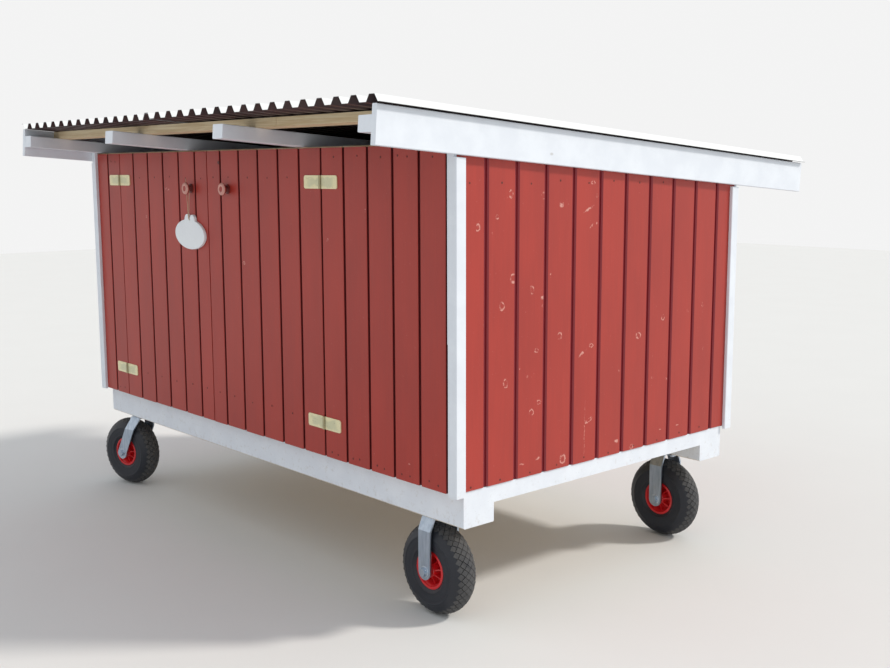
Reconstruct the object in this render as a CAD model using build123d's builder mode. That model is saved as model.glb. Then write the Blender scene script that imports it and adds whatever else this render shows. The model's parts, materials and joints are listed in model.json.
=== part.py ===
from build123d import *
from math import cos, radians, sin, tan
import os

os.makedirs("parts", exist_ok=True)

# Millimetres. X runs along the hut, -Y is the door side and the ground is Z = 0.

# Everything is laid out from the middle of the roof. The left tyres reach past it, so the finished hut is
# set over by these distances to stand centred on the origin.
origin_shift_x = 18.2
origin_shift_y = 1.5
boxes = []

# Body
frame_length = 2012
frame_depth = 1174
frame_front = -636
frame_rear = frame_front + frame_depth
half_frame = frame_length / 2
board = 14
half_wall = half_frame + board
wall_base = 386
front_wall_top = 1285
post = 45

# Base
beam_length = 2032
half_beam = beam_length / 2
beam_base = 292
beam_width = 110
beam_height = 100
beam_setback = 14
beam_top = beam_base + beam_height
cross_thickness = 47
cross_width = 100
lap_depth = 50
deck_thickness = 18
deck_top = beam_top + deck_thickness

# Doors
left_hinge_x = -815.5
right_hinge_x = 446
meeting_x = -188.5
hinge_gap = 1.5
meeting_gap = 2.5
door_back_gap = 0.5
ledge_thickness = 20
ledge_height = 70
ledge_end_margin = 25
ledge_meeting_margin = 30
upper_ledge_z = 1190
lower_ledge_z = 487

# Roof
roof_slope = 4.08
roof_half_depth = 916
rafter_top_front = 1349
rafter_width = 52
rafter_height = 40
inner_rafter_x = (-335.5, 334.5)
batten_thickness = 25
batten_width = 48
barge_height = 96
barge_thickness = 18
rib_pitch = 68.6
rib_shift = -6
sheet_edge = 12
rib_count = 31
rib_height = 18
rib_crest = 10
rib_foot = 34
sheet_thickness = 1.2
sheet_lap_rise = 2.6
overlap_rib = 14

# Corner trim
trim_leg = 34
trim_thickness = 10
trim_base = 383

# Hinges, knobs and sign
leaf_height = 38
leaf_width = 80
leaf_thickness = 2.5
leaf_corner = 7
knuckle_radius = 4
pin_radius = 2
pin_clearance = 0.4
knuckle_count = 3
upper_hinge_z = 1189
lower_hinge_z = 487
pivot_offset = 4
knob_z = 1164
left_knob_x = -294.5
right_knob_x = -61.5
sign_x = -298.5
sign_width = 200
sign_height = 100
sign_thickness = 9
sign_z = 1013
sign_tilt = -3
sign_gap = 0.6

# Castors
axle_height = 130
tyre_radius = 130
tyre_width = 85
rim_radius = 52
rim_width = 70
hub_radius = 20
bore_radius = 6.3
axle_radius = 6
bolt_head_radius = 12
bolt_head_height = 8
washer_radius = 15
washer_thickness = 1.5
right_castor_x = 846.5
castor_inset = 76.5
front_castor_y = frame_front + castor_inset
rear_castor_y = frame_rear - castor_inset
left_castor_x = -900.5
castor_trail = 63
castor_turn = 15
plate_length = 135
plate_width = 95
plate_thickness = 4
plate_bolts = (105, 70)
plate_hole_radius = 5.5
fork_gap = 97
fork_bar = 5
fork_bar_width = 48
rigid_bend_z = 244
swivel_bend_z = 226
fork_crown = 68

roof = Plane(
    origin=(0, -roof_half_depth, rafter_top_front),
    x_dir=(1, 0, 0),
    z_dir=(0, sin(radians(roof_slope)), cos(radians(roof_slope))),
)
roof_run = 2 * roof_half_depth / cos(radians(roof_slope))
downslope = Axis((0, 0, 0), roof.y_dir)


def roof_plane(height):
    return roof.offset(height)


def finish(piece, label):
    piece.part = piece.part.moved(Location((origin_shift_x, origin_shift_y, 0)))
    piece.part.label = label
    export_step(piece.part, f"parts/{label}.step")
    boxes.append(piece.part.bounding_box())


def box_between(low, high):
    size = [b - a for a, b in zip(low, high)]
    with Locations(tuple((a + b) / 2 for a, b in zip(low, high))):
        Box(*size)


# Base: two long beams with the end cross members lapped into their inner upper edges
cross_x = half_beam - cross_width / 2
cross_z = beam_top - cross_thickness / 2
for label, outer_y, inward in (
    ("front_beam", frame_front + beam_setback, 1),
    ("rear_beam", frame_rear - beam_setback, -1),
):
    with BuildPart() as beam:
        with Locations((0, outer_y + inward * beam_width / 2, beam_base + beam_height / 2)):
            Box(beam_length, beam_width, beam_height)
        lap_y = outer_y + inward * (beam_width - lap_depth / 2)
        with Locations((cross_x, lap_y, cross_z), (-cross_x, lap_y, cross_z)):
            Box(cross_width, lap_depth, cross_thickness, mode=Mode.SUBTRACT)
        chamfer(beam.edges().filter_by(Axis.X).group_by(Axis.Z)[0], 3)
    finish(beam, label)

cross_length = frame_depth - 2 * (beam_setback + beam_width - lap_depth)
centre_y = frame_front + frame_depth / 2
with BuildPart() as cross_members:
    with Locations((cross_x, centre_y, cross_z), (-cross_x, centre_y, cross_z)):
        Box(cross_width, cross_length, cross_thickness)
finish(cross_members, "cross_members")

with BuildPart() as floor_deck:
    with Locations((0, centre_y, beam_top + deck_thickness / 2)):
        Box(frame_length, frame_depth, deck_thickness)
finish(floor_deck, "floor_deck")

# Walls: board skins whose tops follow the underside of the rafters. The end walls stand on the beams.
wall_top = roof_plane(-rafter_height)
for label, side in (("wall_left", -1), ("wall_right", 1)):
    with BuildPart() as end_wall:
        with Locations((side * (half_frame + board / 2), centre_y, 900)):
            Box(board, frame_depth + 2 * board, 1200)
        split(bisect_by=wall_top, keep=Keep.BOTTOM)
        split(bisect_by=Plane.XY.offset(beam_top), keep=Keep.TOP)
    finish(end_wall, label)

roof_fall = (frame_rear + board + roof_half_depth) * tan(radians(roof_slope))
rear_wall_gap = 3
rear_wall_top = rafter_top_front - rafter_height - roof_fall - rear_wall_gap
with BuildPart() as wall_rear:
    box_between((-half_frame, frame_rear, wall_base), (half_frame, frame_rear + board, rear_wall_top))
finish(wall_rear, "wall_rear")

for label, x_low, x_high in (
    ("front_panel_left", -half_frame, left_hinge_x - hinge_gap),
    ("front_panel_right", right_hinge_x + hinge_gap, half_frame),
):
    with BuildPart() as panel:
        box_between((x_low, frame_front - board, wall_base), (x_high, frame_front, front_wall_top))
    finish(panel, label)

# Framing behind the boards
front_rail_base = 1229
rear_rail_base = 1145
rail_height = 100
door_post_lap = 30
post_centre = half_frame - post / 2
front_posts = (frame_front, frame_front + post, front_rail_base)
rear_posts = (frame_rear - post, frame_rear, rear_rail_base)
with BuildPart() as corner_posts:
    for x in (-post_centre, post_centre):
        for y_low, y_high, z_high in (front_posts, rear_posts):
            box_between((x - post / 2, y_low, deck_top), (x + post / 2, y_high, z_high))
finish(corner_posts, "corner_posts")

with BuildPart() as door_posts:
    for x in (left_hinge_x - door_post_lap + post / 2, right_hinge_x + door_post_lap - post / 2):
        y_low, y_high, z_high = front_posts
        box_between((x - post / 2, y_low, deck_top), (x + post / 2, y_high, z_high))
finish(door_posts, "door_posts")

with BuildPart() as top_rails:
    for y_low, y_high, z_low in (front_posts, rear_posts):
        box_between((-half_frame, y_low, z_low), (half_frame, y_high, z_low + rail_height))
    split(bisect_by=wall_top, keep=Keep.BOTTOM)
finish(top_rails, "top_rails")

# White corner trims: the leg on the end wall stops short of the barge board, and the leg on the front or rear
# boards runs up inside it to the rafters
trim_top_gap = 6
side_trim_top = roof_plane(batten_thickness - barge_height - trim_top_gap)
with BuildPart() as corner_trims:
    with BuildSketch(Plane.XY.offset(trim_base)):
        trim_front = frame_front - board - trim_thickness
        trim_rear = frame_rear + board + trim_thickness
        for x_side in (-1, 1):
            for y_outer, inward in ((trim_front, 1), (trim_rear, -1)):
                x_outer = x_side * (half_wall + trim_thickness)
                with Locations((x_outer - x_side * trim_leg / 2, y_outer + inward * trim_leg / 2)):
                    Rectangle(trim_leg, trim_leg)
        fillet(vertices(), 2.5)
        with Locations((0, centre_y)):
            Rectangle(2 * half_wall, frame_depth + 2 * board, mode=Mode.SUBTRACT)
    extrude(amount=1000)
    split(bisect_by=side_trim_top, keep=Keep.BOTTOM)
    face_leg = trim_leg - trim_thickness
    for x in (-half_wall + face_leg / 2, half_wall - face_leg / 2):
        for y in (trim_front + trim_thickness / 2, trim_rear - trim_thickness / 2):
            with Locations((x, y, (trim_base + 1400) / 2 + 200)):
                Box(face_leg, trim_thickness, 1400 - trim_base - 400)
    split(bisect_by=wall_top, keep=Keep.BOTTOM)
finish(corner_trims, "corner_trims")

# Roof timbers, all laid out on the sloping plane
outer_rafter_x = half_wall - rafter_width / 2
rafter_rows = (-outer_rafter_x, *inner_rafter_x, outer_rafter_x)
rafter_end_gap = 3
barge_end_gap = 2
with BuildPart(roof) as rafters:
    with Locations([(x, roof_run / 2, -rafter_height / 2) for x in rafter_rows]):
        Box(rafter_width, roof_run - 2 * rafter_end_gap, rafter_height)
    chamfer(rafters.edges().filter_by(downslope), 2)
finish(rafters, "rafters")

front_batten_joint = 459.5
joint_gap = 1.5
front_batten_setback = 134
rear_batten_setback = 60
batten_rows = (front_batten_setback, roof_run / 2, roof_run - rear_batten_setback)
with BuildPart(roof) as battens:
    for x_low, x_high in ((-half_wall, front_batten_joint), (front_batten_joint + joint_gap, half_wall)):
        with Locations(((x_low + x_high) / 2, batten_rows[0], batten_thickness / 2)):
            Box(x_high - x_low, batten_width, batten_thickness)
    with Locations([(0, row, batten_thickness / 2) for row in batten_rows[1:]]):
        Box(2 * half_wall, batten_width, batten_thickness)
finish(battens, "battens")

for label, side in (("barge_board_left", -1), ("barge_board_right", 1)):
    with BuildPart(roof) as barge:
        barge_x = side * (half_wall + barge_thickness / 2)
        with Locations((barge_x, roof_run / 2, batten_thickness - barge_height / 2)):
            Box(barge_thickness, roof_run - 2 * barge_end_gap, barge_height)
        chamfer(barge.edges().filter_by(downslope), 1.5)
    finish(barge, label)


# Corrugated roof sheets: a trapezoid profile run down the slope, the right sheet lapping over the left
def rib_points(first_rib, last_rib, lift):
    points = []
    flank = (rib_foot - rib_crest) / 2
    for rib in range(first_rib, last_rib + 1):
        x = (rib - (rib_count - 1) / 2) * rib_pitch + rib_shift
        base = batten_thickness + lift
        points += [
            (x - rib_crest / 2 - flank, base),
            (x - rib_crest / 2, base + rib_height),
            (x + rib_crest / 2, base + rib_height),
            (x + rib_crest / 2 + flank, base),
        ]
    return points


def roof_sheet(label, first_rib, last_rib, lift):
    lower = rib_points(first_rib, last_rib, lift)
    if first_rib == 0:
        lower = lower[1:]
    else:
        lower.append((lower[-1][0] + sheet_edge, lower[-1][1]))
    upper = [(x, z + sheet_thickness / cos(radians(roof_slope))) for x, z in lower]
    section = Plane(origin=roof.origin, x_dir=(1, 0, 0), z_dir=(0, -1, 0))
    with BuildPart() as sheet:
        with BuildSketch(section):
            with BuildLine():
                Polyline(*lower, *reversed(upper), close=True)
            make_face()
        extrude(amount=roof_run, dir=roof.y_dir)
    finish(sheet, label)


roof_sheet("roof_sheet_left", 0, overlap_rib, 0.2)
roof_sheet("roof_sheet_right", overlap_rib, rib_count - 1, 0.2 + sheet_lap_rise)

# Doors: board skins with two ledges behind each
door_front = frame_front - board
door_back = frame_front - door_back_gap
doors = {
    "left": (left_hinge_x + hinge_gap, meeting_x - meeting_gap),
    "right": (meeting_x + meeting_gap, right_hinge_x - hinge_gap),
}
for side, (x_low, x_high) in doors.items():
    with BuildPart() as door:
        box_between((x_low, door_front, wall_base), (x_high, door_back, front_wall_top))
    finish(door, f"door_{side}")
    low_margin, high_margin = ledge_end_margin, ledge_meeting_margin
    if side == "right":
        low_margin, high_margin = high_margin, low_margin
    with BuildPart() as ledges:
        for z in (upper_ledge_z, lower_ledge_z):
            box_between(
                (x_low + low_margin, door_back, z - ledge_height / 2),
                (x_high - high_margin, door_back + ledge_thickness, z + ledge_height / 2),
            )
        chamfer(ledges.faces().sort_by(Axis.Y)[-2:].edges(), 4)
    finish(ledges, f"door_{side}_ledges")

# Brass butt hinges: the fixed leaf carries the pin and the odd knuckles, the door leaf the even ones
pivot_y = door_front - pivot_offset
knuckle = leaf_height / knuckle_count
strap = 1.6 * knuckle_radius


def hinge_leaves(hinge_x, side, carries_pin):
    with BuildPart() as leaves:
        with BuildSketch(Plane.XZ.offset(-door_front)):
            leaf_x = hinge_x + side * leaf_width / 2
            with Locations((leaf_x, upper_hinge_z), (leaf_x, lower_hinge_z)):
                Rectangle(leaf_width, leaf_height)
            outer_corners = vertices().group_by(Axis.X)[-1 if side > 0 else 0]
            fillet(outer_corners, leaf_corner)
        extrude(amount=leaf_thickness)
        for z in (upper_hinge_z, lower_hinge_z):
            with Locations((hinge_x, pivot_y, z)):
                Cylinder(knuckle_radius + 0.5, leaf_height + 1, mode=Mode.SUBTRACT)
            for index in range(knuckle_count):
                if (index % 2 == 0) == carries_pin:
                    height = z - leaf_height / 2 + (index + 0.5) * knuckle
                    with Locations((hinge_x, pivot_y, height)):
                        Cylinder(knuckle_radius, knuckle - pin_clearance)
                    with Locations((hinge_x + side * strap / 2, door_front - leaf_thickness / 2, height)):
                        Box(strap, leaf_thickness, knuckle - pin_clearance)
            with Locations((hinge_x, pivot_y, z)):
                if carries_pin:
                    Cylinder(pin_radius, leaf_height)
                else:
                    Cylinder(pin_radius + pin_clearance, leaf_height + 1, mode=Mode.SUBTRACT)
    return leaves


for side, hinge_x, door_direction in (("left", left_hinge_x, 1), ("right", right_hinge_x, -1)):
    finish(hinge_leaves(hinge_x, -door_direction, True), f"frame_hinges_{side}")
    finish(hinge_leaves(hinge_x, door_direction, False), f"door_{side}_hinges")

# Turned knobs: a flange on the boards, a narrow neck and a domed head
knob_profile = [(0, 0), (15, 0), (15, 3), (9, 6), (7.5, 9), (7.5, 16)]
for side, knob_x in (("left", left_knob_x), ("right", right_knob_x)):
    knob_plane = Plane(origin=(knob_x, door_front, knob_z), x_dir=(1, 0, 0), z_dir=(0, 0, -1))
    with BuildPart() as knob:
        with BuildSketch(knob_plane):
            with BuildLine():
                Polyline(*knob_profile)
                Spline((7.5, 16), (14, 17.5), (20, 21), (20.5, 25), (17.5, 30), (12, 31.5))
                Polyline((12, 31.5), (0, 32.5), (0, 0))
            make_face()
        revolve(axis=Axis((knob_x, 0, knob_z), (0, 1, 0)))
    finish(knob, f"knob_{side}")

# Oval sign with two ears, hung a little askew from the left knob
sign_plane = Plane(
    origin=(sign_x, door_front - sign_gap, sign_z),
    x_dir=(cos(radians(sign_tilt)), 0, sin(radians(sign_tilt))),
    z_dir=(0, -1, 0),
)
ear_half_width = 20
ear_half_height = 26
ear_x = 17
hole_rise = sign_height / 2 + 5
hole_radius = 3.5
with BuildPart() as sign_plaque:
    with BuildSketch(sign_plane):
        Ellipse(sign_width / 2, sign_height / 2)
        with Locations((-ear_x, sign_height / 2), (ear_x, sign_height / 2)):
            Ellipse(ear_half_width, ear_half_height)
        with Locations((0, hole_rise)):
            Circle(hole_radius, mode=Mode.SUBTRACT)
    extrude(amount=sign_thickness)
finish(sign_plaque, "sign_plaque")

# Twine from the sign's hole, round the neck of the knob and back
twine_radius = 1
hole = sign_plane.from_local_coords((0, hole_rise, 0))
front_y = door_front - sign_gap - sign_thickness - twine_radius - 1
strand_x = 1.3
neck_y = door_front - 12.5
neck_reach = 9.5
twine_points = [
    (hole.X - strand_x, door_front - 3, hole.Z),
    (hole.X - strand_x, front_y, hole.Z + 1),
    (left_knob_x - neck_reach, neck_y, knob_z - 4),
    (left_knob_x - neck_reach, neck_y, knob_z + neck_reach),
    (left_knob_x + neck_reach, neck_y, knob_z + neck_reach),
    (left_knob_x + neck_reach, neck_y, knob_z - 4),
    (hole.X + strand_x, front_y, hole.Z + 1),
    (hole.X + strand_x, door_front - 3, hole.Z),
]


def bend_radii(points):
    radii = []
    for before, corner, after in zip(points, points[1:], points[2:]):
        inward = Vector(*corner) - Vector(*before)
        outward = Vector(*after) - Vector(*corner)
        half_turn = radians(inward.get_angle(outward)) / 2
        radii.append(0.45 * min(inward.length, outward.length) / tan(half_turn))
    return radii


radii = bend_radii(twine_points)
print("twine radii", [round(r, 1) for r in radii])
with BuildPart() as sign_twine:
    with BuildLine() as twine_path:
        FilletPolyline(*twine_points, radius=radii)
    with BuildSketch(Plane(origin=twine_path.line @ 0, z_dir=twine_path.line % 0)):
        Circle(twine_radius)
    sweep()
finish(sign_twine, "sign_twine")

# Castors. Each bracket is the outline of a folded strap seen along its wheel's axle direction, cut to the
# width of the strap seen across it.
def castor_fork(top_z, bend_z, trail):
    half_gap = fork_gap / 2
    crown = fork_crown / 2
    half_bar = fork_bar_width / 2
    crown_low = top_z - 2 * fork_bar
    strap = [
        (half_gap, axle_height - fork_bar_width),
        (half_gap + fork_bar, axle_height - fork_bar_width),
        (half_gap + fork_bar, bend_z + 2),
        (crown + fork_bar * 0.4, top_z),
    ]
    inner = [(crown - fork_bar * 0.6, top_z - fork_bar), (half_gap, bend_z)]
    with BuildPart() as fork:
        with BuildSketch(Plane.YZ.offset(-200)):
            with BuildLine():
                Polyline(
                    *strap,
                    *[(-x, z) for x, z in reversed(strap)],
                    *[(-x, z) for x, z in reversed(inner)],
                    *inner,
                    close=True,
                )
            make_face()
        extrude(amount=400)
        with BuildSketch(Plane.XZ.offset(-100)):
            with BuildLine():
                Polyline(
                    (-half_bar - trail, axle_height),
                    (-half_bar, crown_low),
                    (-half_bar, top_z),
                    (half_bar, top_z),
                    (half_bar, crown_low),
                    (half_bar - trail, axle_height),
                )
                ThreePointArc(
                    (half_bar - trail, axle_height),
                    (-trail, axle_height - half_bar),
                    (-half_bar - trail, axle_height),
                )
            make_face()
        extrude(amount=200, mode=Mode.INTERSECT)
        with Locations(Location((-trail, 0, axle_height), (90, 0, 0))):
            Cylinder(axle_radius, fork_gap + 2 * fork_bar + 4)
        for side in (-1, 1):
            with BuildSketch(Plane.XZ.offset(side * (half_gap + fork_bar))):
                with Locations((-trail, axle_height)):
                    Circle(washer_radius)
            extrude(amount=side * washer_thickness)
            with BuildSketch(Plane.XZ.offset(side * (half_gap + fork_bar + washer_thickness))):
                with Locations((-trail, axle_height)):
                    RegularPolygon(bolt_head_radius, 6)
            extrude(amount=side * bolt_head_height)
    return fork


for label, y in (("front", front_castor_y), ("rear", rear_castor_y)):
    with BuildPart() as plate:
        with BuildSketch(Plane.XY.offset(beam_base - plate_thickness)):
            RectangleRounded(plate_length, plate_width, 8)
            with GridLocations(*plate_bolts, 2, 2):
                Circle(plate_hole_radius, mode=Mode.SUBTRACT)
        extrude(amount=plate_thickness)
        add(castor_fork(beam_base - plate_thickness, rigid_bend_z, 0).part)
    plate.part = plate.part.moved(Location((right_castor_x, y, 0)))
    finish(plate, f"fork_right_{label}")

race_radius = 33
race_height = 7
swivel_split_z = beam_base - plate_thickness - race_height
lower_race_height = 6
with BuildPart() as castor_plates:
    with BuildSketch(Plane.XY.offset(beam_base - plate_thickness)):
        with Locations((left_castor_x, front_castor_y), (left_castor_x, rear_castor_y)):
            RectangleRounded(plate_length, plate_width, 8)
            with GridLocations(*plate_bolts, 2, 2):
                Circle(plate_hole_radius, mode=Mode.SUBTRACT)
    extrude(amount=plate_thickness)
    with Locations(
        (left_castor_x, front_castor_y, swivel_split_z + race_height / 2),
        (left_castor_x, rear_castor_y, swivel_split_z + race_height / 2),
    ):
        Cylinder(race_radius, race_height)
finish(castor_plates, "castor_plates_left")

swivel_top = swivel_split_z - 0.5 - lower_race_height
for label, y, turn in (("front", front_castor_y, castor_turn), ("rear", rear_castor_y, -castor_turn)):
    with BuildPart() as fork:
        add(castor_fork(swivel_top, swivel_bend_z, castor_trail).part)
        with Locations((0, 0, swivel_top + lower_race_height / 2)):
            Cylinder(race_radius + 4, lower_race_height)
    fork.part = fork.part.moved(Location((left_castor_x, y, 0), (0, 0, turn)))
    finish(fork, f"fork_left_{label}")

# Wheels: a pneumatic tyre on a ribbed plastic rim that turns on the axle bolt
trail_back = Location((-castor_trail, 0, 0))
wheels = {
    "right_front": Location((right_castor_x, front_castor_y, axle_height)),
    "right_rear": Location((right_castor_x, rear_castor_y, axle_height)),
    "left_front": Location((left_castor_x, front_castor_y, axle_height), (0, 0, castor_turn)) * trail_back,
    "left_rear": Location((left_castor_x, rear_castor_y, axle_height), (0, 0, -castor_turn)) * trail_back,
}
half_rim = [
    (bore_radius, -36), (hub_radius, -36), (hub_radius, -6), (rim_radius - 14, -6), (rim_radius - 10, -28),
    (rim_radius - 5, -30), (rim_radius - 5, -34.6), (rim_radius + 3, -34.6), (rim_radius + 3, -31.2),
    (rim_radius - 2.1, -31.2),
]
for label, place in wheels.items():
    with BuildPart() as tyre:
        with BuildSketch(Plane.XY):
            with BuildLine():
                Line((rim_radius - 2, -rim_width / 2 + 4), (rim_radius - 2, rim_width / 2 - 4))
                Line((rim_radius - 2, rim_width / 2 - 4), (rim_radius + 6, rim_width / 2 - 4))
                Spline((rim_radius + 6, rim_width / 2 - 4), (88, tyre_width / 2), (117, 30), (126, 18))
                ThreePointArc((126, 18), (tyre_radius, 0), (126, -18))
                Spline((126, -18), (117, -30), (88, -tyre_width / 2), (rim_radius + 6, 4 - rim_width / 2))
                Line((rim_radius + 6, 4 - rim_width / 2), (rim_radius - 2, 4 - rim_width / 2))
            make_face()
        revolve(axis=Axis.Y)
    tyre.part = tyre.part.moved(place)
    finish(tyre, f"tyre_{label}")
    with BuildPart() as rim:
        with BuildSketch(Plane.XY):
            with BuildLine():
                Polyline(*half_rim, *[(r, -y) for r, y in reversed(half_rim)], close=True)
            make_face()
        revolve(axis=Axis.Y)
    rim.part = rim.part.moved(place)
    finish(rim, f"rim_{label}")

print("extent X", min(b.min.X for b in boxes), max(b.max.X for b in boxes))
print("extent Y", min(b.min.Y for b in boxes), max(b.max.Y for b in boxes))
print("extent Z", min(b.min.Z for b in boxes), max(b.max.Z for b in boxes))
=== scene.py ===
import json
import math
import random

import bmesh
import bpy
from mathutils import Euler, Matrix, Vector

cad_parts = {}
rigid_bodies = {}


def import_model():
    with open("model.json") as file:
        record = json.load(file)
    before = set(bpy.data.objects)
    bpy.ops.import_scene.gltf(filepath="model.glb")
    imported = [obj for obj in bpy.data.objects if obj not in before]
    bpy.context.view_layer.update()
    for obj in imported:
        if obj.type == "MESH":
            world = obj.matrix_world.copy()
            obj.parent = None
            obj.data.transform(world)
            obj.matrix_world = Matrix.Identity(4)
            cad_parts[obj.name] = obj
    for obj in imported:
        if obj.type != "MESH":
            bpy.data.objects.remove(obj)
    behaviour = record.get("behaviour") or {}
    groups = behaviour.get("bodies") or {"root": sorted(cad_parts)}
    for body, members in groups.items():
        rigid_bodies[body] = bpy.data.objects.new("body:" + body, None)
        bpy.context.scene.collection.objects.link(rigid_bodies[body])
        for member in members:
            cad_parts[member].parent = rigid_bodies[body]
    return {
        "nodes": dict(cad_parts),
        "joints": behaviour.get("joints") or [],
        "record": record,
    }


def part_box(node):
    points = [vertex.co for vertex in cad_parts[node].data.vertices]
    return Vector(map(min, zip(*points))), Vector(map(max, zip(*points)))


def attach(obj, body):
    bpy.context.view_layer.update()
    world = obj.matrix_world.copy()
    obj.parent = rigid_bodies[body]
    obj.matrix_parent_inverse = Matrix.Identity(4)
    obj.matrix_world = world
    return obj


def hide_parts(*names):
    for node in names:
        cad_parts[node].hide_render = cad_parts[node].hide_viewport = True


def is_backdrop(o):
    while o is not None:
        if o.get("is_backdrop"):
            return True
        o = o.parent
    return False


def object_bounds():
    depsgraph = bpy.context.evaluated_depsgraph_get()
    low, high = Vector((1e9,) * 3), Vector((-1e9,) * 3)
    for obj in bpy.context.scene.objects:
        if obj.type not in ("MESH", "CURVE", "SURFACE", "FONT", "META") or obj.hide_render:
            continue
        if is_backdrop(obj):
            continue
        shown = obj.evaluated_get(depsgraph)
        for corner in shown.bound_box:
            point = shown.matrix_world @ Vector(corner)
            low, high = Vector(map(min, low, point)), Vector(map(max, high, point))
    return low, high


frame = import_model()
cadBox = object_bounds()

nodes = frame["nodes"]
bodies = frame["record"]["behaviour"]["bodies"]
joints = {joint["name"]: joint for joint in frame["joints"]}
bodyOf = {node: body for body, members in bodies.items() for node in members}

# The deck is centred on the hut and its front edge is the frame's front, so places are given from there
deckLow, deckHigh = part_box("floor_deck")
hutMiddle = (deckLow.x + deckHigh.x) / 2
frameFront = deckLow.y


def place(x, y, z):  # millimetres from the hut's middle, from the frame's front and from the ground
    return Vector((hutMiddle + x / 1000, frameFront + y / 1000, z / 1000))


def show(name, data):
    made = bpy.data.objects.new(name, data)
    bpy.context.scene.collection.objects.link(made)
    return made


# Camera

view = {
    "lens": 45.231, "sensor": 36, "reach": 200, "spot": (3080.1, -1900.6, 1217.9),
    "yaw": 48.12, "pitch": -8.2675, "roll": -0.13,
}
camera = show("camera", bpy.data.cameras.new("camera"))
camera.data.lens = view["lens"]
camera.data.sensor_width = view["sensor"]
camera.data.sensor_fit = "HORIZONTAL"
camera.data.clip_end = view["reach"]
lookYaw, lookPitch = math.radians(view["yaw"]), math.radians(view["pitch"])
turned = Matrix.Rotation(lookYaw, 4, "Z") @ Matrix.Rotation(math.pi / 2 + lookPitch, 4, "X")
camera.matrix_world = (
    Matrix.Translation(place(*view["spot"])) @ turned @ Matrix.Rotation(math.radians(view["roll"]), 4, "Z")
)
bpy.context.scene.camera = camera
bpy.context.scene.view_settings.view_transform = "Standard"
print("camera set")


# Twine from the sign's hole round the neck of the left knob and back, with the knot's loose tail

twine = {
    "thickness": 2, "length": 0.262, "hole": (-296.99, 1058.9), "knob": (-294.5, 1164),
    # points of one strand: how far aside, how deep and how high, the first three from the hole, the rest from the knob
    "fromHole": ((1.3, -17, 0), (1.3, -25.6, 1), (1.5, -25.7, 9)),
    "fromKnob": ((9.5, -26.5, -4), (9.5, -26.5, 9.5)),
    "tail": ((-297.5, -26.5, 1174), (-299.5, -27.5, 1179), (-301.5, -29, 1188), (-304.5, -28.5, 1196)),
    "tailRadius": 0.0008,
}


def twineRoute():
    ends = ((twine["hole"], twine["fromHole"]), (twine["knob"], twine["fromKnob"]))
    strands = [
        [place(x + way * aside, depth, z + rise) for (x, z), steps in ends for aside, depth, rise in steps]
        for way in (-1, 1)
    ]
    return strands[0] + strands[1][::-1]


def softLine(name, points, radius):
    curve = bpy.data.curves.new(name, "CURVE")
    curve.dimensions = "3D"
    line = curve.splines.new("NURBS")
    line.points.add(len(points) - 1)
    for knot, point in zip(line.points, points):
        knot.co = (*point, 1)
    line.order_u = 3
    line.use_endpoint_u = True
    curve.resolution_u = 10
    curve.bevel_depth = radius
    curve.bevel_resolution = 3
    curve.use_fill_caps = True
    return show(name, curve)


signTwine = softLine("signTwine", twineRoute(), twine["thickness"] / 2000)
twineTail = softLine("twineTail", [place(*point) for point in twine["tail"]], twine["tailRadius"])


# Sums on sockets, and one way to add a node

class Wire:
    def __init__(self, graph, socket):
        self.graph = graph
        self.socket = socket

    def __add__(self, other):
        return self.graph.maths("ADD", self, other)

    def __sub__(self, other):
        return self.graph.maths("SUBTRACT", self, other)

    def __rsub__(self, other):
        return self.graph.maths("SUBTRACT", other, self)

    def __mul__(self, other):
        return self.graph.maths("MULTIPLY", self, other)

    def __truediv__(self, other):
        return self.graph.maths("DIVIDE", self, other)

    def __pow__(self, other):
        return self.graph.maths("POWER", self, other)

    def __mod__(self, other):
        return self.graph.maths("FLOORED_MODULO", self, other)

    def __gt__(self, other):
        return self.graph.maths("GREATER_THAN", self, other)

    def __abs__(self):
        return self.graph.maths("ABSOLUTE", self)

    __radd__ = __add__
    __rmul__ = __mul__


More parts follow.
